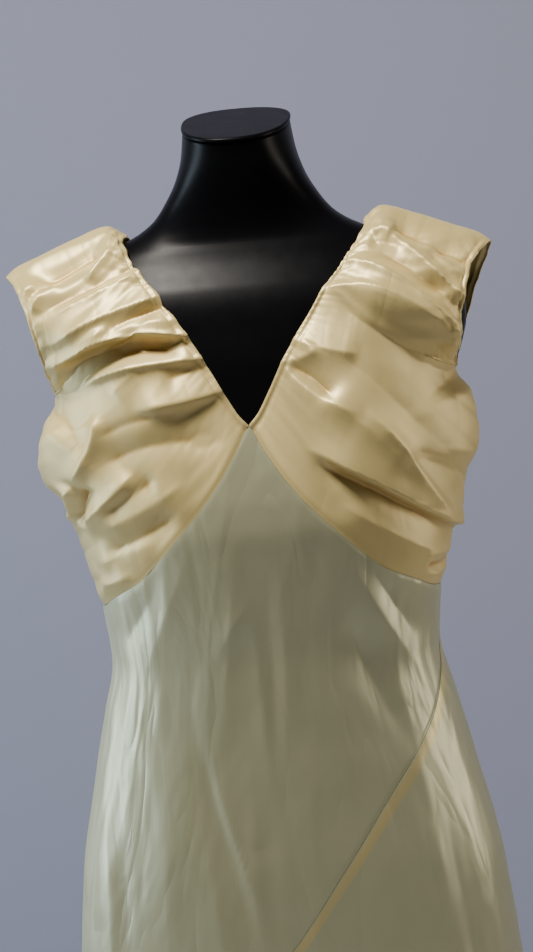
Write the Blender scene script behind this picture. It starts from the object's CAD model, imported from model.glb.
"""Satin maxi dress on a black dress form: fine cloth shells, finishes, studio and camera."""

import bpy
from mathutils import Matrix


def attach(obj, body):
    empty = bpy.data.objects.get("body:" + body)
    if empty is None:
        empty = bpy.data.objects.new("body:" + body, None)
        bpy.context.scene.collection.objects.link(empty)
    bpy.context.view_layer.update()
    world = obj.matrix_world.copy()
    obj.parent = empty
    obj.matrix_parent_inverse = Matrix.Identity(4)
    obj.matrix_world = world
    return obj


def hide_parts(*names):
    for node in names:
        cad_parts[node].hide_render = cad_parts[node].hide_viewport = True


bl_info = {
    "name": "Satin Maxi Dress",
    "version": (1, 0, 0),
    "blender": (4, 5, 0),
    "location": "View3D > Sidebar > Dress",
    "description": "Makes a gathered satin maxi dress on a dress form, with its finishes and studio",
    "category": "Add Mesh",
}

import math
from collections import namedtuple

import bpy
import numpy as np
from bpy.props import FloatProperty, FloatVectorProperty, PointerProperty
from mathutils import Matrix, Vector

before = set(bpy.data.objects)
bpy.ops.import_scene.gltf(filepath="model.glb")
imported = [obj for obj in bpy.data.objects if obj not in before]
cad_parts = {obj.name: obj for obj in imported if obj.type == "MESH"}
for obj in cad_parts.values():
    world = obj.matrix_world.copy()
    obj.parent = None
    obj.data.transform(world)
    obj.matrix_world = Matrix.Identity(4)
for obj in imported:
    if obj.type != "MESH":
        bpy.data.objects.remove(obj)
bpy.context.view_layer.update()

MM = 0.001
BODY = "root"

# Sizes of the dress and the form, in millimetres
SQUARENESS = 2.3
REST_GAP = 0.7
CAD_WALL = 2.2
ARMPIT = 0.463
BACK_V_POINT = 0.49
SHOULDER_SEAM_Y = -6.0
SIDE_WAIST_Z = 1094.0
V_POINT_Z = 1268.0
HEM_Z = 60.0
SEAM_GAP = 0.3
UNDERBUST_SPREAD = 1.4
CUP_FULLNESS = 15.0
CUP_LOWNESS = 1.5
NECK_TILT_START_Z = 1470.0
NECK_TOP_Z = 1548.0
NECK_TILT = math.tan(math.radians(16))


def table(names, rows):
    """A table with named columns, as one array for each column."""
    return {name: np.array(values, float) for name, values in zip(names.split(), zip(*rows))}


Fold = namedtuple("Fold", "x0 x1 x2 z0 z1 z2 height width below")


def folds(rows):
    """Folds from rows of plain numbers."""
    return [Fold(*row) for row in rows]


FORM_SECTIONS = table("z half front back", [
    (745, 142, 86, 96), (760, 150, 92, 104), (850, 170, 100, 120), (950, 150, 95, 105),
    (1045, 121, 84, 84), (1094, 132, 97, 88), (1146, 143, 115, 93), (1190, 150, 123, 98),
    (1230, 161, 117, 104), (1268, 174, 108.5, 108), (1297, 188, 103, 110), (1324, 200, 98, 108),
    (1351, 206, 91, 104), (1375, 205, 84, 98), (1393, 197, 76, 90), (1405, 187, 68, 84),
    (1418, 168, 60, 78), (1430, 148, 54, 74), (1440, 123, 50, 72), (1450, 101, 49, 71),
    (1462, 85, 50, 69), (1478, 73, 53, 66), (1498, 62, 58, 60), (1520, 55, 64, 53),
    (1548, 51, 73, 43),
])
DRESS_SECTIONS = table("z half front back", [
    (60, 280, 208, 218), (200, 264, 190, 200), (400, 244, 168, 178), (600, 226, 150, 160),
    (750, 216, 140, 150), (837, 206, 134, 140), (925, 187, 125, 124), (992, 172, 120, 108),
    (1043, 160, 119, 101), (1094, 165, 124, 104), (1126, 170, 127, 106), (1146, 174, 129, 108),
    (1168, 179, 131, 110), (1192, 183, 129, 112), (1218, 188, 124, 114), (1243, 192, 118, 116),
    (1268, 196, 111.5, 118), (1320, 204, 101, 116),
])

# Edges of the wearer's left half, each along its own length from 0 to 1
NECKLINE = table("at x y z", [
    (0, 119, -6, 1446), (0.075, 117, -24, 1441), (0.265, 98, -57, 1413), (0.419, 78, -77, 1387),
    (0.606, 52, -91, 1351), (0.738, 35, -99, 1324), (0.864, 20, -104, 1297), (0.951, 9, -109, 1279),
    (1, 0.5, -111, V_POINT_Z + 2),
])
CUP_OUTER_EDGE = table("at x y z", [
    (0, 232, -6, 1417), (0.069, 221, -30, 1409), (0.135, 212, -50, 1395), (0.195, 205, -61, 1375),
    (0.239, 201, -61, 1358), (0.288, 197, -55, 1340), (0.351, 194, -40, 1320), (0.416, 192, -18, 1306),
    (ARMPIT, 193, 0, 1301), (0.564, 203, 0, 1262), (0.607, 205, 0, 1245), (0.722, 197, 0, 1200),
    (0.827, 184, 0, 1160), (0.919, 174, 0, 1125), (1, 165, 0, SIDE_WAIST_Z),
])
SHOULDER_SEAM = table("at x y z", [
    (0, 119, SHOULDER_SEAM_Y, 1446), (0.06, 124, SHOULDER_SEAM_Y, 1452),
    (0.14, 133, SHOULDER_SEAM_Y, 1457.5), (0.4, 162, SHOULDER_SEAM_Y, 1449),
    (0.72, 200, SHOULDER_SEAM_Y, 1434), (0.9, 222, SHOULDER_SEAM_Y, 1425),
    (1, 232, SHOULDER_SEAM_Y, 1417),
])
UNDERBUST_SEAM = table("x z", [
    (0, V_POINT_Z), (14, 1243), (30, 1218), (51, 1192), (74, 1168), (95, 1146), (117, 1126),
    (143, 1111), (158, 1100), (165, SIDE_WAIST_Z),
])
BACK_INNER_EDGE = table("at x y z", [
    (0, 119, -6, 1446), (0.06, 116, 16, 1444), (0.14, 105, 46, 1432), (0.24, 82, 76, 1408),
    (0.34, 50, 98, 1370), (0.43, 18, 110, 1334), (BACK_V_POINT, 0, 114, 1310),
    (0.62, 0, 118, 1250), (0.8, 0, 111, 1170), (1, 0, 104, SIDE_WAIST_Z),
])
BACK_OUTER_EDGE = table("at x y z", [
    (0, 232, -6, 1417), (0.08, 230, 20, 1406), (0.16, 220, 46, 1384), (0.24, 210, 58, 1356),
    (0.32, 202, 50, 1332), (0.4, 195, 24, 1308), (ARMPIT, 193, 0, 1301), (0.564, 203, 0, 1262),
    (0.607, 205, 0, 1245), (0.722, 197, 0, 1200), (0.827, 184, 0, 1160), (0.919, 174, 0, 1125),
    (1, 165, 0, SIDE_WAIST_Z),
])
SLANTED_SEAM = table("x z", [
    (-300, 350), (-228, 425), (-190, 500), (-130, 595), (-60, 690), (6, 779), (54, 842),
    (101, 906), (137, 956), (150, 978), (158, 1003), (200, 1046),
])

# Folds: x and z of three places along the crest, height (negative for a valley), half breadth of the
# upper side, and the lower side's share of that breadth. x grows from the centre to the side.
RIGHT_CUP_FOLDS = folds([
    (127, 166, 205, 1444, 1427, 1407, -12, 8, 1),
    (131, 173, 217, 1451, 1437, 1417, 6, 7, 0.7),
    (139, 178, 223, 1456, 1443, 1422, -4, 4, 1),
    (129, 123, 115, 1451, 1446, 1442, 3, 3, 1),
    (125, 118, 108, 1444, 1440, 1430, 3, 3, 1),
    (121, 114, 102, 1437, 1433, 1420, 3, 3, 1),
    (208, 203, 179, 1386, 1405, 1416, 5, 4, 1),
    (203, 198, 176, 1386, 1401, 1413, -3, 3, 1),
    (200, 194, 171, 1381, 1397, 1410, 4, 4, 1),
    (119, 134, 145, 1439, 1427, 1408, 5, 5, 1),
    (195, 152, 80, 1383, 1400, 1429, -6, 8, 1),
    (193, 150, 72, 1377, 1394, 1424, 7, 8, 0.7),
    (186, 134, 45, 1352, 1376, 1396, 9, 9, 0.6),
    (135, 100, 59, 1361, 1375, 1384, -6, 5, 1),
    (160, 115, 40, 1351, 1368, 1366, 4, 5, 0.8),
    (130, 96, 41, 1361, 1363, 1359, -3, 5, 1),
    (188, 106, 11, 1329, 1361, 1337, 16, 12, 0.3),
    (176, 106, 50, 1325, 1344, 1334, -8, 7, 1),
    (167, 102, 2, 1305, 1329, 1329, 9, 9, 0.5),
    (79, 55, 24, 1314, 1321, 1325, -3.5, 9, 1),
    (128, 112, 97, 1301, 1316, 1324, 2.5, 8, 1),
    (109, 57, 2, 1289, 1295, 1307, 8, 12, 0.5),
    (81, 46, 9, 1268, 1286, 1302, -3, 13, 1),
    (145, 120, 80, 1262, 1275, 1284, -2, 4, 1),
    (152, 146, 174, 1288, 1264, 1216, 8, 6, 1),
    (174, 182, 182, 1219, 1200, 1178, 7, 5, 1),
    (160, 168, 177, 1222, 1200, 1179, -9, 6, 1),
    (172, 198, 200, 1279, 1245, 1197, 15, 17, 1),
    (180, 182, 187, 1350, 1318, 1282, 4, 8, 1),
    (152, 87, 16, 1233, 1257, 1253, -7, 14, 1),
    (173, 128, 110, 1178, 1213, 1234, 8, 9, 1),
    (144, 105, 85, 1188, 1216, 1224, -5, 9, 1),
    (151, 107, 57, 1176, 1194, 1222, 5, 14, 1),
    (149, 109, 68, 1154, 1170, 1193, -5, 9, 1),
    (161, 121, 90, 1140, 1157, 1165, 3.5, 11, 1),
    (159, 138, 121, 1125, 1125, 1136, 3, 8, 1),
])
LEFT_CUP_FOLDS = folds([
    (133, 174, 233, 1448, 1423, 1391, -9, 7, 1),
    (166, 184, 224, 1432, 1409, 1377, 5, 7, 0.8),
    (171, 188, 220, 1419, 1397, 1371, -4.5, 8, 1),
    (121, 166, 226, 1445, 1409, 1344, 7, 6, 0.7),
    (112, 157, 222, 1424, 1397, 1334, -4, 7, 1),
    (86, 145, 214, 1409, 1388, 1320, 5, 5, 2.2),
    (118, 137, 155, 1427, 1425, 1417, -3, 4, 1),
    (123, 133, 142, 1434, 1436, 1431, 3, 3, 1),
    (127, 137, 145, 1441, 1442, 1435, 3, 3, 1),
    (42, 134, 214, 1374, 1376, 1301, 5.5, 6, 1.8),
    (95, 150, 212, 1382, 1364, 1325, 7, 24, 1),
    (70, 112, 170, 1330, 1306, 1236, -2.5, 14, 1),
    (60, 98, 150, 1296, 1268, 1208, 2.5, 13, 1),
    (38, 67, 108, 1346, 1335, 1325, 6, 12, 0.7),
    (30, 55, 70, 1322, 1326, 1335, 4, 6, 1),
    (32, 59, 82, 1321, 1309, 1283, -6, 8, 1),
    (24, 65, 109, 1333, 1291, 1270, 4, 10, 1),
    (105, 138, 179, 1277, 1236, 1162, 7, 8, 0.9),
    (141, 161, 181, 1238, 1206, 1172, -4, 12, 1),
    (45, 109, 215, 1244, 1213, 1131, 11, 15, 0.25),
    (52, 117, 178, 1232, 1197, 1154, -6, 8, 1),
    (76, 123, 172, 1194, 1158, 1127, 4, 12, 1),
    (149, 165, 186, 1131, 1129, 1129, 4, 5, 1),
    (151, 162, 180, 1121, 1120, 1120, -4, 5, 1),
    (154, 164, 176, 1106, 1110, 1119, 3, 4, 1),
    (190, 204, 192, 1298, 1250, 1202, 10, 18, 1),
    (184, 190, 199, 1335, 1327, 1323, 3, 4, 1),
    (187, 193, 202, 1344, 1339, 1336, 3, 4, 1),
])
BACK_FOLDS = folds([
    (100, 165, 250, 1428, 1424, 1392, -6, 8, 1),
    (90, 160, 250, 1408, 1402, 1370, 5, 7, 0.6),
    (70, 140, 240, 1372, 1376, 1340, 5, 8, 0.6),
    (40, 120, 230, 1330, 1346, 1318, 4, 8, 0.8),
    (60, 130, 190, 1250, 1262, 1268, 3.5, 14, 1),
])
# Roll of the cloth along the shoulder seam: height, half breadth, how far down the panel
SHOULDER_ROLL = (4, 9, 0.02)

# Skirt flutes: angle, half breadth in degrees, height at the hem, where they end
SKIRT_FLUTES = table("angle breadth height top", [
    (-172, 15, 31, 780), (-138, 13, 36, 840), (-104, 12, 29, 700), (-74, 12, 26, 760),
    (-42, 14, 31, 620), (-9, 12, 27, 700), (22, 11, 23, 580), (52, 13, 34, 760), (84, 12, 26, 820),
    (115, 13, 35, 800), (150, 14, 29, 680),
])
# Skirt creases, in the same columns as the folds: seen from the front, then from behind
SKIRT_FRONT_CREASES = folds([
    (70, 112, 165, 1175, 1075, 985, 3.5, 13, 1),
    (66, 95, 140, 1120, 1030, 935, -4, 14, 1),
    (92, 116, 145, 1150, 1103, 1040, -3, 9, 1),
    (-70, -46, -5, 1000, 905, 750, 3, 8, 1),
    (-78, -62, -18, 1050, 930, 770, -3.2, 11, 1),
    (-12, -7, -3, 1110, 1020, 900, 1.6, 6, 1),
    (19, 17, 12, 1160, 1045, 900, 2.4, 8, 1),
    (8, 6, 4, 1150, 1040, 920, -1.6, 7, 1),
    (-24, -23, -26, 980, 880, 720, 1.4, 6, 1),
    (0, 3, 2, 960, 870, 720, 1.3, 6, 1),
    (30, 33, 38, 1010, 890, 770, 1.4, 8, 1),
    (-48, -27, -6, 1050, 1085, 1112, 1.4, 7, 1),
    (-52, -88, -135, 1185, 1100, 1000, 2.6, 15, 1),
    (-145, -122, -92, 1050, 1088, 1128, -2.2, 13, 1),
    (-15, -30, -55, 1190, 1085, 940, 2.2, 13, 1),
    (-171, -170, -176, 1000, 830, 600, 2.0, 9, 1),
    (-153, -156, -162, 980, 800, 580, -2.0, 11, 1),
    (-100, -108, -118, 1000, 860, 660, 2.0, 16, 1),
    (-71, -60, -52, 940, 800, 620, 2.2, 14, 1),
    (-128, -133, -143, 1040, 900, 700, -1.8, 16, 1),
    (160, 189, 212, 1010, 843, 600, 2.6, 13, 1),
    (146, 168, 190, 960, 800, 600, -2.6, 12, 1),
    (110, 114, 120, 960, 820, 640, -2.0, 14, 1),
    (86, 90, 96, 930, 780, 600, 1.8, 14, 1),
    (56, 64, 72, 1130, 1000, 880, 1.8, 11, 1),
])
SKIRT_BACK_CREASES = folds([
    (60, 95, 140, 1075, 990, 900, -3.5, 12, 1),
    (40, 70, 110, 1080, 1000, 920, 3, 9, 1),
    (-55, -90, -150, 1080, 1000, 890, -4, 12, 1),
    (-35, -65, -115, 1075, 985, 880, 3.5, 10, 1),
    (-10, -5, 5, 1060, 960, 840, 3, 10, 1),
    (20, 22, 15, 900, 800, 640, -3, 12, 1),
    (-30, -40, -48, 860, 740, 600, 3, 11, 1),
    (150, 165, 185, 960, 850, 700, 3.5, 10, 1),
    (-160, -175, -190, 980, 860, 720, -3, 9, 1),
])

# Edge gathers: how many to the panel's length, height, how far in they reach
NECKLINE_GATHERS = (17, 1.5, 0.13)
OUTER_GATHERS = (16, 1.5, 0.12)
FINE_NECKLINE_GATHERS = (37, 0.4, 0.06)
FINE_OUTER_GATHERS = (41, 0.4, 0.06)
# Long pleats of the straps: how many to the panel's length, height, start, sideways drift
STRAP_PLEATS = ((17, 0.6, 0.4, 1.1), (29, 0.2, 2.2, 1.4), (9, 1.2, 4.1, 0.8))
# Turned edges and seams: how far in the roll and the stitches lie, their breadth and their height
TURNED_ROLL = (2.5, 2.2, 1.0)
TURNED_STITCHES = (7, 1.8, -0.7)
SEAM_GROOVE = (0.9, 3.2)
HEM_STITCHES = (25.0, 2.5, 0.6)
# A bodice panel's rough breadth at its top, how much it grows downwards, its length and its side's breadth
PANEL_TOP_BREADTH = 118
PANEL_GROWTH = 150
PANEL_LENGTH = 320
PANEL_SIDE_BREADTH = 240
STRAP_LENGTH = 238
# Ridges: steps along a fold, share of its length in which each end dies away, and its profile
RIDGE_STEPS = 14
FOLD_END = 0.24
CREASE_END = 0.48
CREASE_STRENGTH = 1.35
CREST_FALL = 1.2
CRISPNESS = 0.45
FOLD_LEAN = 0.6
# Letting the bodice settle: the folds laid by hand are the start, and only the smoothed movement is kept
SETTLE_ROWS, SETTLE_COLUMNS = 131, 81
SETTLE_FRAMES = 12
HELD_INSIDE = 0.22
SETTLED_SMOOTHING = 3
CLOTH_GRAVITY = 0.3
CLOTH_SETTINGS = {
    "quality": 6, "mass": 0.1, "tension_stiffness": 20, "compression_stiffness": 20,
    "shear_stiffness": 5, "bending_stiffness": 6.0, "air_damping": 3,
    "vertex_group_mass": "held", "pin_stiffness": 1,
}
CLOTH_CLEARANCE = 0.0012
FORM_CLEARANCE = 0.0015
FORM_FRICTION = 30
# Grids of the finished shells, rows by columns
FRONT_GRID = (260, 120)
BACK_GRID = (160, 90)
SKIRT_COLUMNS = 181
UPPER_SKIRT_ROWS = 180
LOWER_SKIRT_ROWS = 200
# Hanging wrinkles: how many to a radian turned, height, start, sideways wander
HANGING_WRINKLES = ((9, 0.8, 0.3, 1.8), (21, 0.4, 1.9, 3.2), (41, 0.2, 4.0, 4.4))
# Soft dents between them: height, size across, size down
DAPPLES = ((0.45, 27, 41), (0.24, 14, 19), (0.09, 7, 10))
SKIRT_GRAIN_RADIUS = 190.0
SIDE_COLUMN = 3.2
SEAM_BAND = (12, 15)
# Finishes: how metallic the satin is, depth in metres of its pressed creases, their stretch and turn
BODICE_METALLIC = 0.3
SKIRT_METALLIC = 0.45
BODICE_CRUMPLE = 0.003
SKIRT_CRUMPLE = 0.0048
CRUMPLE_STRETCH = (17, 5.5, 1)
CRUMPLE_TURN = 0.12
YARN_STRETCH = (900, 45, 1)
BRUSHED_STRETCH = (40, 40, 900)
# The neck cap's rings: rise above the neck's top and spread past it
NECK_CAP_LEVELS = ((0.3, 0.3), (0.5, 0.8), (1.3, 1.2), (3.1, 1.2), (4.0, 0.6), (4.3, -0.4))
# Studio, in metres: half breadth of the floor and the backdrop, where the backdrop stands, its top
STAGE_REACH = 6
BACKDROP_Y = 1.6
BACKDROP_TOP = 5
WORLD_COLOUR = (0.30, 0.31, 0.34, 1)
WORLD_STRENGTH = 0.045


def ease(value, low, high):
    share = np.clip((np.asarray(value, float) - low) / (high - low), 0, 1)
    return share * share * (3 - 2 * share)


def mix(a, b, share):
    return a + (b - a) * share


def unit(vectors):
    return vectors / np.maximum(np.linalg.norm(vectors, axis=-1, keepdims=True), 1e-9)


def column(rows, key, name):
    """A smooth curve through one column of a table that never overshoots its rows."""
    places, values = rows[key], rows[name]
    order = np.argsort(places)
    places, values = places[order], values[order]
    steps = np.diff(places)
    slopes = np.diff(values) / steps
    tangents = np.zeros_like(values)
    tangents[0], tangents[-1] = slopes[0], slopes[-1]
    before, after = slopes[:-1], slopes[1:]
    same_way = before * after > 0
    total = np.where(same_way, before + after, 1)
    tangents[1:-1] = np.where(same_way, 2 * before * after / total, 0)

    def curve(value):
        at = np.clip(value, places[0], places[-1])
        i = np.clip(np.searchsorted(places, at, side="right") - 1, 0, len(steps) - 1)
        t = (at - places[i]) / steps[i]
        rise = (3 - 2 * t) * t * t
        swing = (1 - t) * tangents[i] - t * tangents[i + 1]
        return mix(values[i], values[i + 1], rise) + steps[i] * t * (1 - t) * swing

    return curve


def edge_curve(rows):
    parts = [column(rows, "at", name) for name in "xyz"]
    return lambda at: np.stack([part(np.asarray(at, float)) for part in parts], -1)


def section_surface(rows):
    """Superellipse sections: a point at an angle round the body, 0 in front."""
    half, front, back = (column(rows, "z", name) for name in ("half", "front", "back"))
    power = 2 / SQUARENESS

    def surface(angle, z):
        angle, z = np.broadcast_arrays(np.asarray(angle, float), np.asarray(z, float))
        sine, cosine = np.sin(angle), np.cos(angle)
        depth = np.where(cosine > 0, front(z), back(z))
        x = half(z) * np.sign(sine) * np.abs(sine) ** power
        y = -depth * np.sign(cosine) * np.abs(cosine) ** power
        return np.stack([x, y, z], -1)

    return surface


form_surface = section_surface(FORM_SECTIONS)
dress_surface = section_surface(DRESS_SECTIONS)
form_half = column(FORM_SECTIONS, "z", "half")
form_front = column(FORM_SECTIONS, "z", "front")
form_back = column(FORM_SECTIONS, "z", "back")
dress_half = column(DRESS_SECTIONS, "z", "half")


def form_level(points):
    x, y, z = points[..., 0], points[..., 1], points[..., 2]
    depth = np.where(y < 0, form_front(z), form_back(z))
    total = np.abs(x / form_half(z)) ** SQUARENESS + np.abs(y / depth) ** SQUARENESS
    return total ** (1 / SQUARENESS)


def away_from_form(points):
    """Distance from the form, and the direction away from it."""
    step = 0.5
    slope = np.stack([
        (form_level(points + axis) - form_level(points - axis)) / (2 * step)
        for axis in np.eye(3) * step
    ], -1)
    steepness = np.maximum(np.linalg.norm(slope, axis=-1), 1e-4)
    return (form_level(points) - 1) / steepness, slope / steepness[..., None]


def seat_on_form(points, gap, exactly=False):
    seated = np.array(points, float)
    for _ in range(8):
        distance, direction = away_from_form(seated)
        move = np.clip(gap + CAD_WALL - distance, -6 if exactly else 0, 6)
        seated = seated + direction * move[..., None]
    return seated


def angle_at(x, z):
    return np.arcsin(np.clip((x / dress_half(z)) ** (SQUARENESS / 2), 0, 1))


underbust_z = column(
    {"angle": angle_at(UNDERBUST_SEAM["x"], UNDERBUST_SEAM["z"]), "z": UNDERBUST_SEAM["z"]}, "angle", "z",
)
slanted_z = column({
    "angle": np.sign(SLANTED_SEAM["x"]) * angle_at(np.abs(SLANTED_SEAM["x"]), SLANTED_SEAM["z"]),
    "z": SLANTED_SEAM["z"],
}, "angle", "z")


def underbust_angle(across):
    return math.pi / 2 * np.asarray(across, float) ** UNDERBUST_SPREAD


def underbust(across):
    return dress_surface(underbust_angle(across), underbust_z(underbust_angle(across)))


def back_waist(across):
    return dress_surface(math.pi * (1 - np.asarray(across, float) / 2), SIDE_WAIST_Z)


def neckline_on_form(rows, end, free_from=None):
    """A neckline that lies on the form as far down as the share given, then hangs free."""
    curve = edge_curve(rows)
    shift = end - seat_on_form(curve(1.0), REST_GAP, True)

    def edge(down):
        down = np.asarray(down, float)
        lying = seat_on_form(curve(down), REST_GAP, True) + shift * ease(down, 0.8, 1)[..., None]
        if free_from is None:
            return lying
        return mix(lying, curve(down), ease(down, free_from - 0.06, free_from + 0.1)[..., None])

    return edge


def patch(inner, outer, top, bottom):
    """A four sided patch filled in between its edges."""
    corners = [top(0.0), top(1.0), bottom(0.0), bottom(1.0)]

    def surface(across, down):
        across, down = np.broadcast_arrays(np.asarray(across, float), np.asarray(down, float))
        a, d = across[..., None], down[..., None]
        rim = (1 - a) * inner(down) + a * outer(down) + (1 - d) * top(across) + d * bottom(across)
        return rim - ((1 - a) * (1 - d) * corners[0] + a * (1 - d) * corners[1]
                      + (1 - a) * d * corners[2] + a * d * corners[3])

    return surface


cup_inner_edge = neckline_on_form(NECKLINE, underbust(0.0))
back_inner_edge = neckline_on_form(BACK_INNER_EDGE, back_waist(0.0), BACK_V_POINT)
shoulder_curve = edge_curve(SHOULDER_SEAM)
shoulder_shift = cup_inner_edge(0.0) - shoulder_curve(0.0)


def shoulder(across):
    return shoulder_curve(across) + shoulder_shift * (1 - np.asarray(across, float))[..., None]


flat_cup = patch(cup_inner_edge, edge_curve(CUP_OUTER_EDGE), shoulder, underbust)
back_base = patch(back_inner_edge, edge_curve(BACK_OUTER_EDGE), shoulder, back_waist)


def cup_base(across, down):
    points = flat_cup(across, down)
    rounding = np.sin(math.pi * across) * np.sin(math.pi * down ** CUP_LOWNESS) ** 2
    points[..., 1] -= CUP_FULLNESS * rounding
    return points


def outward(surface, across, down, facing):
    step = 0.004
    further_in, further_out = np.maximum(across - step, 0), np.minimum(across + step, 1)
    higher, lower = np.maximum(down - step, 0), np.minimum(down + step, 1)
    along_across = surface(further_out, down) - surface(further_in, down)
    along_down = surface(across, lower) - surface(across, higher)
    return unit(np.cross(along_down, along_across) * facing)


def dress_direction(angle, z):
    step = 0.01
    around = dress_surface(angle + step, z) - dress_surface(angle - step, z)
    up = dress_surface(angle, z + 1) - dress_surface(angle, z - 1)
    return unit(np.cross(around, up))


def ridge_height(height, width, below, xs, ys, x, y, end):
    """A rounded ridge along a curve through three places, with y downwards. It dies away at both ends."""
    t = np.linspace(0, 1, RIDGE_STEPS + 1)[:, None]
    weights = np.concatenate([(1 - t) * (1 - 2 * t), 4 * t * (1 - t), t * (2 * t - 1)], 1)
    curve = weights @ np.stack([xs, ys], -1)
    lengths = np.hypot(*np.diff(curve, axis=0).T)
    starts = np.concatenate([[0], lengths.cumsum()]) / lengths.sum()
    nearest = np.full(x.shape, np.inf)
    along = np.zeros(x.shape)
    side = np.zeros(x.shape)
    for i in range(RIDGE_STEPS):
        (ax, ay), (dx, dy) = curve[i], curve[i + 1] - curve[i]
        share = np.clip(((x - ax) * dx + (y - ay) * dy) / lengths[i] ** 2, 0, 1)
        off_x, off_y = x - ax - share * dx, y - ay - share * dy
        distance = np.hypot(off_x, off_y)
        nearer = distance < nearest
        nearest = np.where(nearer, distance, nearest)
        along = np.where(nearer, mix(starts[i], starts[i + 1], share), along)
        side = np.where(nearer, (dx * off_y - dy * off_x) * np.sign(xs[2] - xs[0]), side)
    reach = np.where(side > 0, width * below, width)
    ends = ease(along, 0, end) * ease(1 - along, 0, end)
    away = np.minimum(nearest / reach, 20)
    return height * ends * mix(1 / np.cosh(away), np.exp(-CREST_FALL * away), CRISPNESS)


def fold_height(fold, x, z, end=FOLD_END):
    xs, zs = (fold.x0, fold.x1, fold.x2), (-fold.z0, -fold.z1, -fold.z2)
    return ridge_height(fold.height, fold.width, fold.below, xs, zs, x, -z, end)


def gather_height(gather, along, distance_in):
    """Uneven pleats along an edge, round on top and sharp between."""
    count, height, reach = gather
    uneven = along + 0.011 * np.sin(23 * along) + 0.006 * np.sin(51 * along + 1)
    swell = 0.75 + 0.25 * np.sin(17 * along + 2)
    pleat = 2 * np.abs(np.sin(math.pi * count * uneven)) ** 0.8 - 1
    return height * swell * pleat * np.exp(-distance_in / reach)


def strap_pleats(across, down, slant):
    """Long narrow pleats that run over the strap from edge to edge and fade out over the bust."""
    run = down + across * (slant * 0.45 + 0.03) - 0.03 * np.sin(math.pi * across)
    total = np.zeros(down.shape)
    for count, height, start, drift in STRAP_PLEATS:
        phase = 2 * math.pi * count * run + start + drift * np.sin(math.pi * across + start)
        swell = 0.55 + 0.45 * np.sin(5.3 * across + 2.1 * start + 9 * down)
        total = total + height * swell * (1 - 2 * np.abs(np.sin(phase / 2)) ** 1.4)
    lower = mix(1, 0.1, ease(down, 0.26, 0.5))
    return total * lower * ease(down, 0.01, 0.06) * (1 - ease(down, 0.93, 0.99))


def turned_edge(distance):
    """A turned edge: a soft roll with a line of stitches behind it."""
    total = np.zeros(distance.shape)
    for at, breadth, height in (TURNED_ROLL, TURNED_STITCHES):
        total = total + height * np.exp(-(((distance - at) / breadth) ** 2))
    return total


def fine_gathers(across, down, slant):
    flow = down + across * 0.3
    outflow = down + (1 - across) * slant
    fine = gather_height(FINE_NECKLINE_GATHERS, flow, across) * (1 - 0.7 * ease(down, 0.5, 0.8))
    fine = fine + gather_height(FINE_OUTER_GATHERS, outflow, 1 - across)
    return fine * ease(down, 0, 0.03) * (1 - ease(down, 0.94, 1))


def puckers(creases, across, down, slant, x, z):
    """How far the cloth of a gathered panel stands off its base surface."""
    at_neck = mix(0.6, 1, ease(across, 0, 0.08))
    side_seam = np.where(down > ARMPIT - 0.04, 1 - ease(across, 0.93, 1), 1)
    shoulder_end = ease(down, 0, 0.035)
    waist_end = 1 - ease(down, 0.965, 1)
    at_arm = mix(0.4, 1, np.maximum(ease(1 - across, 0, 0.1), ease(down, ARMPIT - 0.08, ARMPIT)))
    share = at_neck * at_arm * side_seam * shoulder_end * waist_end
    flow = down + across * mix(0.4, -0.15, ease(down, 0.45, 0.85))
    outflow = down + (1 - across) * slant
    raised = gather_height(NECKLINE_GATHERS, flow, across) * (1 - 0.93 * ease(down, 0.24, 0.4))
    raised = raised + gather_height(OUTER_GATHERS, outflow, 1 - across) + strap_pleats(across, down, slant)
    overhang = np.zeros(raised.shape)
    for fold in creases:
        height = fold_height(fold, x, z)
        raised = raised + height
        overhang = overhang + np.maximum(height, 0) * (1 - fold.below)
    roll_height, roll_width, roll_down = SHOULDER_ROLL
    raised = raised * share + roll_height / np.cosh((down - roll_down) * STRAP_LENGTH / roll_width)
    return raised, overhang * share


def grid_quads(rows, columns):
    """The numbers of a grid's points, and its quads."""
    index = np.arange(rows * columns).reshape(rows, columns)
    quads = np.stack([index[:-1, :-1], index[:-1, 1:], index[1:, 1:], index[1:, :-1]], -1)
    return index, quads.reshape(-1, 4)


def new_mesh(name, points, faces):
    mesh = bpy.data.meshes.new(name)
    mesh.from_pydata(points.tolist(), [], faces)
    return mesh


def add_object(name, data):
    added = bpy.data.objects.new(name, data)
    bpy.context.scene.collection.objects.link(added)
    return added


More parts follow.
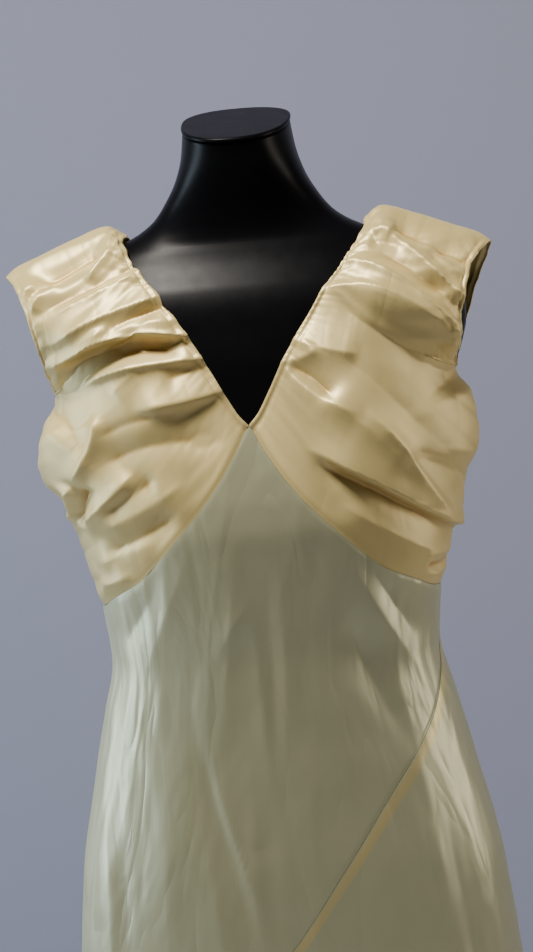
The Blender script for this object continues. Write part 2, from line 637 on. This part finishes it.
def settle(points, held):
    """Cloth simulation of a grid of points, each held to its place by a weight from 0 to 1."""
    rows, columns = points.shape[:2]
    turned_quads = grid_quads(rows, columns)[1][:, [0, 3, 2, 1]]
    mesh = new_mesh("settling_cloth", points.reshape(-1, 3) * MM, turned_quads.tolist())
    piece = add_object("settling_cloth", mesh)
    group = piece.vertex_groups.new(name="held")
    levels = np.round(held.ravel(), 2)
    for level in np.unique(levels[levels > 0]):
        group.add(np.flatnonzero(levels == level).tolist(), float(level), "REPLACE")
    modifier = piece.modifiers.new("cloth", "CLOTH")
    for label, value in CLOTH_SETTINGS.items():
        setattr(modifier.settings, label, value)
    modifier.settings.effector_weights.gravity = CLOTH_GRAVITY
    modifier.collision_settings.use_collision = True
    modifier.collision_settings.use_self_collision = False
    modifier.collision_settings.distance_min = CLOTH_CLEARANCE
    modifier.point_cache.frame_start = 1
    modifier.point_cache.frame_end = SETTLE_FRAMES
    for number in range(1, SETTLE_FRAMES + 1):
        bpy.context.scene.frame_set(number)
    settled = piece.evaluated_get(bpy.context.evaluated_depsgraph_get())
    flat = np.zeros(rows * columns * 3, np.float32)
    settled.data.vertices.foreach_get("co", flat)
    result = flat.reshape(rows, columns, 3).astype(float) / MM
    bpy.data.objects.remove(piece)
    bpy.data.meshes.remove(mesh)
    bpy.context.scene.frame_set(1)
    return result


def settling_form():
    """The torso as something for the settling cloth to rest on."""
    torso = lofted("settling_form", form_rings(900, 80, 96))
    torso.modifiers.new("collision", "COLLISION")
    torso.collision.thickness_outer = FORM_CLEARANCE
    torso.collision.cloth_friction = FORM_FRICTION
    return torso


def refine(grid, axis, count):
    """The same grid with more points along one axis, on smooth curves through the old ones."""
    grid = np.moveaxis(grid, axis, 0)
    spots = np.linspace(0, len(grid) - 1, count)
    i = np.clip(spots.astype(int), 0, len(grid) - 2)
    t = (spots - i).reshape(-1, *[1] * (grid.ndim - 1))
    before, after = grid[np.maximum(i - 1, 0)], grid[np.minimum(i + 2, len(grid) - 1)]
    a, b = grid[i], grid[i + 1]
    result = 0.5 * (2 * a + (b - before) * t + (2 * before - 5 * a + 4 * b - after) * t * t
                    + (3 * a - before - 3 * b + after) * t ** 3)
    return np.moveaxis(result, 0, axis)


def grid_direction(points):
    """Directions square to a grid of points, along growing columns crossed with growing rows."""
    return unit(np.cross(np.gradient(points, axis=0), np.gradient(points, axis=1)))


def shell(name, outer, direction, thickness, attributes, mirrored=False, grain=None):
    """A closed thin shell from a grid of outer points, with its grid sizes or its grain as UV."""
    rows, columns = outer.shape[:2]
    inner = outer - direction * thickness
    count = rows * columns
    points = np.concatenate([outer.reshape(-1, 3), inner.reshape(-1, 3)])
    if mirrored:
        points = points * (-1, 1, 1)
    index, quads = grid_quads(rows, columns)
    rim = np.concatenate([index[0], index[1:, -1], index[-1, -2::-1], index[-2:0:-1, 0]])
    following = np.roll(rim, -1)
    walls = np.stack([following, rim, rim + count, following + count], -1)
    faces = np.concatenate([quads, quads[:, ::-1] + count, walls])
    first = points[quads[len(quads) // 2]]
    normal = np.cross(first[1] - first[0], first[3] - first[0])
    out = direction.reshape(-1, 3)[quads[len(quads) // 2][0]] * ((-1, 1, 1) if mirrored else (1, 1, 1))
    if normal @ out < 0:
        faces = faces[:, ::-1]
    mesh = new_mesh(name, points * MM, faces.tolist())
    mesh.polygons.foreach_set("use_smooth", [True] * len(faces))
    for label, values in attributes.items():
        layer = mesh.attributes.new(label, "FLOAT", "POINT")
        layer.data.foreach_set("value", np.concatenate([values.ravel()] * 2).astype(np.float32))
    add_cloth_uv(mesh, grid_sizes(outer) if grain is None else grain, count)
    mark_rim_sharp(mesh, rim, following, count)
    mesh.validate()
    return add_object(name, mesh)


def grid_sizes(outer):
    """Millimetres across and down the grid at each of its points."""
    across = np.linalg.norm(np.diff(outer, axis=1), axis=-1).mean(0).cumsum()
    down = np.linalg.norm(np.diff(outer, axis=0), axis=-1).mean(1).cumsum()
    return np.stack(np.meshgrid(np.concatenate([[0], across]), np.concatenate([[0], down])), -1)


def add_cloth_uv(mesh, grain, count):
    """UV in metres along the cloth, so that a weave keeps its size."""
    flat = grain.reshape(-1, 2) * MM
    corners = np.zeros(len(mesh.loops), np.int32)
    mesh.loops.foreach_get("vertex_index", corners)
    layer = mesh.uv_layers.new(name="cloth")
    layer.data.foreach_set("uv", flat[corners % count].astype(np.float32).ravel())


def mark_rim_sharp(mesh, rim, following, count):
    ends = np.zeros(len(mesh.edges) * 2, np.int32)
    mesh.edges.foreach_get("vertices", ends)
    ends = np.sort(ends.reshape(-1, 2), axis=1)
    pairs = np.sort(np.stack([rim, following], -1), axis=1)
    wanted = set(map(tuple, pairs)) | set(map(tuple, pairs + count))
    sharp = np.array([tuple(pair) in wanted for pair in ends])
    layer = mesh.attributes.new("sharp_edge", "BOOLEAN", "EDGE")
    layer.data.foreach_set("value", sharp)


def place(piece, material, slot, *nodes):
    piece.data.materials.append(material)
    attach(piece, BODY)
    if nodes:
        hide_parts(*nodes)
    return piece


# Panels
def denser_at_ends(count, crowding=0.35):
    share = np.linspace(0, 1, count)
    return share - crowding * np.sin(2 * math.pi * share) / (2 * math.pi)


def bodice_panel(name, base, creases, facing, grid, thickness, slant, mirrored):
    """A gathered panel: folded by hand, settled, then refined to its fine grid with edges and seams."""
    down, across = np.meshgrid(
        np.linspace(0, 1, SETTLE_ROWS), denser_at_ends(SETTLE_COLUMNS), indexing="ij",
    )
    direction = outward(base, across, down, facing)
    near_shoulder = 1 - ease(down, 0, 0.12)
    near_side = ease(across, 0.8, 1) * ease(down, ARMPIT - 0.08, ARMPIT)
    direction[..., 1] *= 1 - np.maximum(near_shoulder, near_side)
    if facing > 0:
        angle = underbust_angle(across)
        waist = dress_direction(angle, underbust_z(angle))
    else:
        waist = dress_direction(math.pi * (1 - across / 2), np.full(across.shape, SIDE_WAIST_Z))
        direction[..., 0] *= 1 - (1 - ease(across, 0, 0.12)) * ease(down, 0.35, 0.49)
    direction = unit(mix(unit(direction), waist, ease(down, 0.86, 1)[..., None]))
    flat = base(across, down)
    height, overhang = puckers(creases, across, down, slant, flat[..., 0], flat[..., 2])
    points = flat + direction * height[..., None]
    points[..., 2] -= FOLD_LEAN * overhang * (1 - ease(down, 0.93, 0.98)) * ease(down, 0.03, 0.07)
    points = seat_on_form(points, REST_GAP + thickness - CAD_WALL)
    edge = np.minimum.reduce([across, 1 - across, down, 1 - down])
    held = np.maximum(1 - ease(edge, 0, 0.02), HELD_INSIDE)
    moved = settle(points, held) - points
    points = points + smoothed(moved, SETTLED_SMOOTHING)
    rows, columns = grid
    points, down, across = (refine(refine(each, 0, rows), 1, columns) for each in (points, down, across))
    direction = grid_direction(points) * facing
    direction[0, :, 1] = 0
    direction[:, -1, 1] *= np.where(down[:, -1] >= ARMPIT, 0, 1)
    direction = unit(direction)
    fine = fine_gathers(across, down, slant)
    breadth = PANEL_TOP_BREADTH + PANEL_GROWTH * down
    off_shoulder = ease(down, 0.02, 0.05)
    fine = fine + turned_edge(across * breadth) * off_shoulder
    fine = fine + turned_edge((1 - across) * breadth) * off_shoulder * (down < ARMPIT)
    fine = fine + seam_groove(down * PANEL_LENGTH) + seam_groove((1 - down) * PANEL_LENGTH)
    fine = fine + seam_groove((1 - across) * PANEL_SIDE_BREADTH) * (down >= ARMPIT)
    points = points + direction * fine[..., None]
    clear = seat_on_form(points, REST_GAP + thickness - CAD_WALL)
    points = np.where((down < 0.97)[..., None], clear, points)
    half = SEAM_GAP / 2
    points[..., 0] = np.maximum(points[..., 0], half)
    points[0, :, 1] = SHOULDER_SEAM_Y - facing * half
    sides = down[:, -1] >= ARMPIT - 0.02
    points[sides, -1, 1] = facing * np.minimum(facing * points[sides, -1, 1], -half)
    attributes = {"hollow": hollows(points, direction), "band": np.zeros(down.shape)}
    return shell(name, points, direction, thickness, attributes, mirrored)


def smoothed(grid, times):
    for _ in range(times):
        for axis in (0, 1):
            padded = np.concatenate([grid.take([0], axis), grid, grid.take([-1], axis)], axis)
            count = grid.shape[axis]
            grid = (padded.take(range(count), axis) + padded.take(range(2, count + 2), axis) + 2 * grid) / 4
    return grid


def hollows(points, direction):
    """How deep each place lies in a narrow or a wide valley, from 0 to 1."""
    narrow = smoothed(points, 12)
    wide = smoothed(narrow, 60)
    narrow_depth = np.sum((narrow - points) * direction, -1)
    wide_depth = np.sum((wide - points) * direction, -1)
    return np.maximum(ease(narrow_depth, 0.1, 1.6), 0.8 * ease(wide_depth, 0.2, 4.5))


def flute_height(angle, z):
    total = np.zeros(np.broadcast(angle, z).shape)
    for at, breadth, height, top in zip(*SKIRT_FLUTES.values()):
        turn = np.arctan2(np.sin(angle - math.radians(at)), np.cos(angle - math.radians(at)))
        grown = np.clip((top - z) / (top - HEM_Z), 0, 1) ** 1.3
        total = total + height * grown * np.exp(-((turn / math.radians(breadth)) ** 2))
    return total


def seam_groove(distance):
    """The shallow trough that stitches pull along a seam."""
    depth, reach = SEAM_GROOVE
    return -depth * np.exp(-((distance / reach) ** 2))


def hanging_wrinkles(angle, z):
    """Faint long wrinkles that wander down the skirt, uneven in strength."""
    total = np.zeros(np.broadcast(angle, z).shape)
    for count, height, start, drift in HANGING_WRINKLES:
        wander = drift * np.sin(z / 170 + start) + 0.4 * drift * np.sin(z / 61 + 2 * start)
        swell = np.maximum(0, np.sin(z / 130 + 3 * start) * np.sin(2.3 * angle + start) + 0.35)
        phase = (count * angle + start + wander) / 2
        total = total + height * swell * (1 - 2 * np.abs(np.sin(phase)) ** 0.8)
    for height, across, down in DAPPLES:
        around = angle * SKIRT_GRAIN_RADIUS / across
        level = z / down
        dent = np.sin(around + 2 * np.sin(level / 2)) * np.sin(level + 2.4 * np.sin(0.7 * around))
        total = total + height * dent
    return total


def skirt_points(angle, z, creases):
    flat = dress_surface(angle, z)
    height = flute_height(angle, z) + hanging_wrinkles(angle, z)
    for crease in creases:
        height = height + CREASE_STRENGTH * fold_height(crease, flat[..., 0], z, CREASE_END)
    return flat, height


def skirt_panel(name, top, bottom, rows, side, thickness, hem, creases, banded=False):
    """A skirt panel between two edges, each an angle and a height for every column."""
    (top_angle, top_z), (bottom_angle, bottom_z) = top, bottom
    share = np.linspace(0, 1, rows)[:, None]
    angle = mix(top_angle[None], bottom_angle[None], share)
    z = mix(top_z[None] - SEAM_GAP, bottom_z[None] + (0 if hem else SEAM_GAP), share)
    flat, height = skirt_points(angle, z, creases)
    below_top = z[:1] - z
    above_bottom = z - z[-1:]
    height = height + 0.5 * seam_groove(below_top)
    if hem:
        at, breadth, depth = HEM_STITCHES
        height = height - depth * np.exp(-(((above_bottom - at) / breadth) ** 2))
    else:
        height = height + seam_groove(above_bottom)
    span = np.minimum(np.arange(angle.shape[1]), np.arange(angle.shape[1])[::-1])
    height = height + seam_groove(span * SIDE_COLUMN)[None]
    direction = dress_direction(angle, z)
    points = flat + direction * height[..., None]
    for end in (0, -1):
        points[:, end, 1] = side * SEAM_GAP / 2
        direction[:, end, 1] = 0
    direction = unit(direction)
    band = ease(below_top, 0.5, 2) * (1 - ease(below_top, *SEAM_BAND)) * banded
    grain = np.stack([angle * SKIRT_GRAIN_RADIUS, z], -1)
    attributes = {"hollow": np.zeros(angle.shape), "band": band}
    return shell(name, points, direction, thickness, attributes, grain=grain)


# Materials
def set_inputs(node, values):
    for label, value in values.items():
        node.inputs[label].default_value = value


def add_node(nodes, kind, inputs, **settings):
    """A shader node with its own settings and the values of its inputs."""
    node = nodes.new(kind)
    for label, value in settings.items():
        setattr(node, label, value)
    set_inputs(node, inputs)
    return node


def new_material(name, inputs):
    """A material with values on its shader, together with its nodes, its links and that shader."""
    material = bpy.data.materials.new(name)
    material.use_nodes = True
    nodes = material.node_tree.nodes
    shader = nodes["Principled BSDF"]
    set_inputs(shader, inputs)
    return material, nodes, material.node_tree.links, shader


def drawn_noise(nodes, links, coordinates, stretch, turn=0.0, detail=2.0, distortion=0.0):
    """Noise drawn out along the coordinates."""
    mapping = add_node(nodes, "ShaderNodeMapping", {"Scale": stretch, "Rotation": (0, 0, turn)})
    inputs = {"Scale": 1.0, "Detail": detail, "Distortion": distortion}
    noise = add_node(nodes, "ShaderNodeTexNoise", inputs)
    links.new(coordinates, mapping.inputs["Vector"])
    links.new(mapping.outputs["Vector"], noise.inputs["Vector"])
    return noise.outputs["Fac"]


def add_bump(nodes, links, height, strength, distance):
    bump = add_node(nodes, "ShaderNodeBump", {"Strength": strength, "Distance": distance})
    links.new(height, bump.inputs["Height"])
    return bump


def between(nodes, links, share, low, high):
    """A share from 0 to 1 turned into a value between two ends."""
    spread = add_node(nodes, "ShaderNodeMapRange", {"To Min": low, "To Max": high})
    links.new(share, spread.inputs["Value"])
    return spread.outputs["Result"]


def pressed_creases(nodes, links, coordinates, depth):
    """Faint pressed creases: the middle level of a long drawn noise, folded to thin lines."""
    noise = drawn_noise(nodes, links, coordinates, CRUMPLE_STRETCH, CRUMPLE_TURN, 2.5, 0.5)
    middle = add_node(nodes, "ShaderNodeMath", {1: 0.5}, operation="SUBTRACT")
    links.new(noise, middle.inputs[0])
    fold = add_node(nodes, "ShaderNodeMath", {}, operation="ABSOLUTE")
    links.new(middle.outputs["Value"], fold.inputs[0])
    return add_bump(nodes, links, fold.outputs["Value"], 1.0, depth).outputs["Normal"]


def coloured_over(nodes, links, base, over, label):
    """A colour, or the output that gives it, with another over it where an attribute says so."""
    attribute = add_node(nodes, "ShaderNodeAttribute", {}, attribute_name=label)
    colour = add_node(nodes, "ShaderNodeMix", {"B": (*over, 1)}, data_type="RGBA")
    links.new(attribute.outputs["Fac"], colour.inputs["Factor"])
    if isinstance(base, bpy.types.NodeSocket):
        links.new(base, colour.inputs["A"])
    else:
        set_inputs(colour, {"A": (*base, 1)})
    return colour.outputs["Result"]


def satin_material(name, finish, base, roughness, metallic, crumple):
    """Satin with a stretched highlight, warmer hollows, fine yarns and pressed creases."""
    material, nodes, links, shader = new_material(name, {
        "Roughness": roughness, "Anisotropic": finish.anisotropy, "Metallic": metallic,
        "Sheen Weight": 0.1, "Sheen Roughness": 0.4, "Specular IOR Level": 0.9,
    })
    colour = coloured_over(nodes, links, base, finish.hollow_colour, "hollow")
    colour = coloured_over(nodes, links, colour, finish.band_colour, "band")
    links.new(colour, shader.inputs["Base Color"])
    along_cloth = add_node(nodes, "ShaderNodeUVMap", {}, uv_map="cloth").outputs["UV"]
    yarns = drawn_noise(nodes, links, along_cloth, YARN_STRETCH, detail=3)
    bump = add_bump(nodes, links, yarns, 0.25, 0.0003)
    links.new(pressed_creases(nodes, links, along_cloth, crumple), bump.inputs["Normal"])
    links.new(bump.outputs["Normal"], shader.inputs["Normal"])
    tangent = add_node(nodes, "ShaderNodeTangent", {}, direction_type="UV_MAP", uv_map="cloth")
    links.new(tangent.outputs["Tangent"], shader.inputs["Tangent"])
    return material


def form_material(finish):
    material, nodes, links, shader = new_material("black_lacquer", {
        "Base Color": (*finish.colour, 1), "Specular IOR Level": 0.07,
    })
    coordinates = add_node(nodes, "ShaderNodeTexCoord", {})
    mottle = add_node(nodes, "ShaderNodeTexNoise", {"Scale": 60, "Detail": 4})
    links.new(coordinates.outputs["Object"], mottle.inputs["Vector"])
    low, high = finish.roughness - 0.05, finish.roughness + 0.07
    links.new(between(nodes, links, mottle.outputs["Fac"], low, high), shader.inputs["Roughness"])
    bump = add_bump(nodes, links, mottle.outputs["Fac"], 0.15, 0.0005)
    links.new(bump.outputs["Normal"], shader.inputs["Normal"])
    return material


def steel_material():
    material, nodes, links, shader = new_material("brushed_steel", {
        "Metallic": 1, "Base Color": (0.5, 0.51, 0.53, 1),
    })
    coordinates = add_node(nodes, "ShaderNodeTexCoord", {})
    lines = drawn_noise(nodes, links, coordinates.outputs["Object"], BRUSHED_STRETCH)
    links.new(between(nodes, links, lines, 0.22, 0.42), shader.inputs["Roughness"])
    return material


def plain_material(name, colour):
    return new_material(name, {"Roughness": 0.9, "Base Color": (*colour, 1)})[0]


# The form
def tilted_ring_points(angle, z, spread=0.0):
    points = form_surface(angle, z)
    points[..., :2] *= (1 + spread / form_half(z))[..., None]
    points[..., 2] += points[..., 1] * NECK_TILT * ease(z, NECK_TILT_START_Z, NECK_TOP_Z)
    return points


def form_rings(bottom_z, rows, sides):
    """Rings of the torso from a height up to the neck's top."""
    angle = np.linspace(0, 2 * math.pi, sides, endpoint=False)
    heights = np.linspace(bottom_z, NECK_TOP_Z, rows)
    return tilted_ring_points(*np.meshgrid(angle, heights))


def lofted(name, rings):
    """A closed solid through rings of equal count, in millimetres."""
    count, sides = rings.shape[:2]
    centres = rings[[0, -1]].mean(1)
    points = np.concatenate([rings.reshape(-1, 3), centres]) * MM
    index = np.arange(count * sides).reshape(count, sides)
    following = np.roll(index, -1, 1)
    quads = np.stack([index[:-1], following[:-1], following[1:], index[1:]], -1).reshape(-1, 4)
    base, top = count * sides, count * sides + 1
    caps = [(base, b, a) for a, b in zip(index[0], following[0])]
    caps += [(top, a, b) for a, b in zip(index[-1], following[-1])]
    mesh = new_mesh(name, points, quads.tolist() + [list(map(int, cap)) for cap in caps])
    mesh.polygons.foreach_set("use_smooth", [True] * len(quads) + [False] * len(caps))
    return add_object(name, mesh)


class DressSizes(bpy.types.PropertyGroup):
    thickness: FloatProperty(
        name="Cloth thickness", description="Thickness of the satin shell", default=0.0012, unit="LENGTH",
    )


class SatinFinish(bpy.types.PropertyGroup):
    colour: FloatVectorProperty(
        name="Bodice", description="Colour of the doubled satin of the bodice", subtype="COLOR",
        default=(0.71, 0.56, 0.23),
    )
    skirt_colour: FloatVectorProperty(
        name="Skirt", description="Colour of the single satin of the skirt", subtype="COLOR",
        default=(0.53, 0.53, 0.34),
    )
    band_colour: FloatVectorProperty(
        name="Seam band", description="Colour where the slanted seam's allowance lies under the satin",
        subtype="COLOR", default=(0.66, 0.56, 0.27),
    )
    hollow_colour: FloatVectorProperty(
        name="In folds", description="Warmer colour deep in the folds", subtype="COLOR",
        default=(0.52, 0.31, 0.07),
    )
    roughness: FloatProperty(
        name="Bodice roughness", description="How soft the bodice's highlights are", default=0.46,
        subtype="FACTOR",
    )
    skirt_roughness: FloatProperty(
        name="Skirt roughness", description="How soft the skirt's highlights are", default=0.38,
        subtype="FACTOR",
    )
    anisotropy: FloatProperty(
        name="Anisotropy", description="How far highlights stretch across the yarns", default=0.45,
        subtype="FACTOR",
    )


class FormFinish(bpy.types.PropertyGroup):
    colour: FloatVectorProperty(
        name="Form", description="Colour of the dress form", subtype="COLOR", default=(0.003, 0.003, 0.004),
    )
    roughness: FloatProperty(
        name="Roughness", description="How soft the form's highlights are", default=0.32, subtype="FACTOR",
    )


class StudioSettings(bpy.types.PropertyGroup):
    top_power: FloatProperty(
        name="Top light", description="Power of the light above", default=70, unit="POWER",
    )
    side_power: FloatProperty(
        name="Side light", description="Power of the cool side light", default=38, unit="POWER",
    )
    fill_power: FloatProperty(
        name="Fill light", description="Power of the warm side light", default=19, unit="POWER",
    )
    backdrop: FloatVectorProperty(
        name="Backdrop", description="Colour of the backdrop", subtype="COLOR", default=(0.30, 0.31, 0.42),
    )
    floor: FloatVectorProperty(
        name="Floor", description="Colour of the floor", subtype="COLOR", default=(0.54, 0.54, 0.56),
    )


class DRESS_OT_bodice(bpy.types.Operator):
    """Makes the two gathered cups and the two back panels"""
    bl_idname = "dress.bodice"
    bl_label = "Bodice"

    def execute(self, context):
        thickness = context.scene.dress_sizes.thickness / MM
        finish = context.scene.dress_satin
        colour, roughness = finish.colour, finish.roughness
        satin = satin_material("bodice_satin", finish, colour, roughness, BODICE_METALLIC, BODICE_CRUMPLE)
        torso = settling_form()
        panels = [
            ("bodice_front_left", cup_base, LEFT_CUP_FOLDS, 1, FRONT_GRID, 0.3, False),
            ("bodice_front_right", cup_base, RIGHT_CUP_FOLDS, 1, FRONT_GRID, 0.0, True),
            ("bodice_back_left", back_base, BACK_FOLDS, -1, BACK_GRID, 0.0, False),
            ("bodice_back_right", back_base, BACK_FOLDS, -1, BACK_GRID, 0.0, True),
        ]
        for node, base, creases, facing, grid, slant, mirrored in panels:
            piece = bodice_panel(node + "_cloth", base, creases, facing, grid, thickness, slant, mirrored)
            place(piece, satin, "dress_satin", node)
        bpy.data.objects.remove(torso)
        return {"FINISHED"}


class DRESS_OT_skirt(bpy.types.Operator):
    """Makes the skirt's upper front, lower front and back"""
    bl_idname = "dress.skirt"
    bl_label = "Skirt"

    def execute(self, context):
        thickness = context.scene.dress_sizes.thickness / MM
        finish = context.scene.dress_satin
        colour, roughness = finish.skirt_colour, finish.skirt_roughness
        satin = satin_material("skirt_satin", finish, colour, roughness, SKIRT_METALLIC, SKIRT_CRUMPLE)
        across = np.linspace(-1, 1, SKIRT_COLUMNS)
        top_angle = np.sign(across) * underbust_angle(np.abs(across))
        quarter = math.pi / 2
        spread = np.linspace(-quarter, quarter, SKIRT_COLUMNS)
        behind = np.linspace(quarter, 3 * quarter, SKIRT_COLUMNS)
        waist, hem = np.full(SKIRT_COLUMNS, SIDE_WAIST_Z), np.full(SKIRT_COLUMNS, HEM_Z)
        under_bust = (top_angle, underbust_z(np.abs(top_angle)))
        slanted = (spread, slanted_z(spread))
        upper = skirt_panel(
            "skirt_front_upper_cloth", under_bust, slanted,
            UPPER_SKIRT_ROWS, -1, thickness, False, SKIRT_FRONT_CREASES,
        )
        lower = skirt_panel(
            "skirt_front_lower_cloth", slanted, (spread, hem),
            LOWER_SKIRT_ROWS, -1, thickness, True, SKIRT_FRONT_CREASES, banded=True,
        )
        back = skirt_panel(
            "skirt_back_cloth", (behind, waist), (behind, hem),
            LOWER_SKIRT_ROWS, 1, thickness, True, SKIRT_BACK_CREASES,
        )
        cuts = [
            (upper, "skirt_front_upper", (0.62, 0.92), 0.24),
            (lower, "skirt_front_lower", (0.80, 1.02), 0.52),
            (back, "skirt_back", (0.85, 1.05), 0.68),
        ]
        for piece, node, flat, area in cuts:
            place(piece, satin, "dress_satin", node)
        return {"FINISHED"}


class DRESS_OT_form(bpy.types.Operator):
    """Makes the smooth torso form and its neck cap"""
    bl_idname = "dress.form"
    bl_label = "Dress form"

    def execute(self, context):
        lacquer = form_material(context.scene.dress_form)
        torso = lofted("form_torso_shell", form_rings(FORM_SECTIONS["z"][0], 220, 160))
        place(torso, lacquer, "form_black", "form_torso")
        angle = np.linspace(0, 2 * math.pi, 160, endpoint=False)
        rings = []
        for rise, spread in NECK_CAP_LEVELS:
            ring = tilted_ring_points(angle, np.full(angle.shape, NECK_TOP_Z), spread)
            ring[..., 2] += rise
            rings.append(ring)
        cap = lofted("form_neck_cap_disc", np.array(rings))
        place(cap, lacquer, "form_black", "form_neck_cap")
        return {"FINISHED"}


class DRESS_OT_stand(bpy.types.Operator):
    """Gives the stand its brushed steel"""
    bl_idname = "dress.stand"
    bl_label = "Stand"

    def execute(self, context):
        steel = steel_material()
        for node in ("stand_base", "stand_socket", "stand_pole", "stand_collar"):
            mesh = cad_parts[node].data
            mesh.materials.clear()
            mesh.materials.append(steel)
        return {"FINISHED"}


def area_light(name, location, target, size, power, colour):
    data = bpy.data.lights.new(name, "AREA")
    data.shape = "RECTANGLE"
    data.size, data.size_y = size
    data.energy = power
    data.color = colour
    light = add_object(name, data)
    light.location = location
    light.rotation_euler = (Vector(target) - Vector(location)).to_track_quat("-Z", "Y").to_euler()


CAMERA_AT = (0.1851, -2.0803, 1.4279)
CAMERA_AZIMUTH = 5.0
CAMERA_ELEVATION = 6.0
CAMERA_ROLL = 4.4
CAMERA_LENS = 81.87


def add_camera():
    azimuth, elevation, roll = map(math.radians, (CAMERA_AZIMUTH, CAMERA_ELEVATION, CAMERA_ROLL))
    back = Vector((math.sin(azimuth) * math.cos(elevation), -math.cos(azimuth) * math.cos(elevation),
                   math.sin(elevation)))
    right = Vector((math.cos(azimuth), math.sin(azimuth), 0))
    up = back.cross(right)
    rolled_right = right * math.cos(roll) - up * math.sin(roll)
    rolled_up = up * math.cos(roll) + right * math.sin(roll)
    data = bpy.data.cameras.new("camera")
    data.lens = CAMERA_LENS
    camera = add_object("camera", data)
    turn = Matrix((rolled_right, rolled_up, back)).transposed()
    camera.matrix_world = Matrix.Translation(CAMERA_AT) @ turn.to_4x4()
    bpy.context.scene.camera = camera


def stage_sheet(name, corners, material):
    """A flat sheet of the studio between four corners, in metres."""
    mesh = new_mesh(name, np.array(corners, float), [(0, 1, 3, 2)])
    mesh.polygons.foreach_set("use_smooth", [True])
    mesh.materials.append(material)
    add_object(name, mesh)


class DRESS_OT_stage(bpy.types.Operator):
    """Adds the camera, the floor, the backdrop and the soft lights"""
    bl_idname = "dress.stage"
    bl_label = "Studio"

    def execute(self, context):
        studio = context.scene.dress_studio
        add_camera()
        sides = (-STAGE_REACH, STAGE_REACH)
        floor = [(x, y, 0) for y in sides for x in sides]
        stage_sheet("floor", floor, plain_material("pale_floor", studio.floor))
        wall = [(x, BACKDROP_Y, z) for z in (-0.01, BACKDROP_TOP) for x in sides]
        stage_sheet("backdrop", wall, plain_material("backdrop_grey", studio.backdrop))
        chest, skirt = (0, 0, 1.2), (0, 0, 0.9)
        warm, cool, amber = (1.0, 0.95, 0.86), (0.68, 0.86, 1.0), (1.0, 0.92, 0.78)
        area_light("light_top", (-0.55, -0.65, 2.9), chest, (0.45, 0.45), studio.top_power, warm)
        area_light("light_side", (-2.3, 0.15, 1.3), skirt, (0.5, 1.7), studio.side_power, cool)
        area_light("light_fill", (2.3, 0.05, 1.4), skirt, (0.45, 1.5), studio.fill_power, amber)
        world = bpy.data.worlds.new("studio_world")
        world.use_nodes = True
        background = world.node_tree.nodes["Background"]
        set_inputs(background, {"Color": WORLD_COLOUR, "Strength": WORLD_STRENGTH})
        context.scene.world = world
        return {"FINISHED"}


class DRESS_PT_panel(bpy.types.Panel):
    bl_idname = "DRESS_PT_panel"
    bl_label = "Satin dress"
    bl_space_type = "VIEW_3D"
    bl_region_type = "UI"
    bl_category = "Dress"

    def draw(self, context):
        for operator in OPERATORS:
            self.layout.operator(operator.bl_idname)
        for group in SETTINGS:
            settings = getattr(context.scene, group)
            for name in settings.__annotations__:
                self.layout.prop(settings, name)


SETTINGS = {
    "dress_sizes": DressSizes, "dress_satin": SatinFinish,
    "dress_form": FormFinish, "dress_studio": StudioSettings,
}
OPERATORS = (DRESS_OT_stage, DRESS_OT_form, DRESS_OT_bodice, DRESS_OT_skirt, DRESS_OT_stand)
CLASSES = (*SETTINGS.values(), *OPERATORS, DRESS_PT_panel)


def register():
    for each in CLASSES:
        bpy.utils.register_class(each)
    for name, group in SETTINGS.items():
        setattr(bpy.types.Scene, name, PointerProperty(type=group))


def unregister():
    for name in SETTINGS:
        delattr(bpy.types.Scene, name)
    for each in reversed(CLASSES):
        bpy.utils.unregister_class(each)


def main():
    register()
    bpy.ops.dress.stage()
    bpy.ops.dress.form()
    bpy.ops.dress.bodice()
    bpy.ops.dress.skirt()
    bpy.ops.dress.stand()


if __name__ == "__main__":
    main()
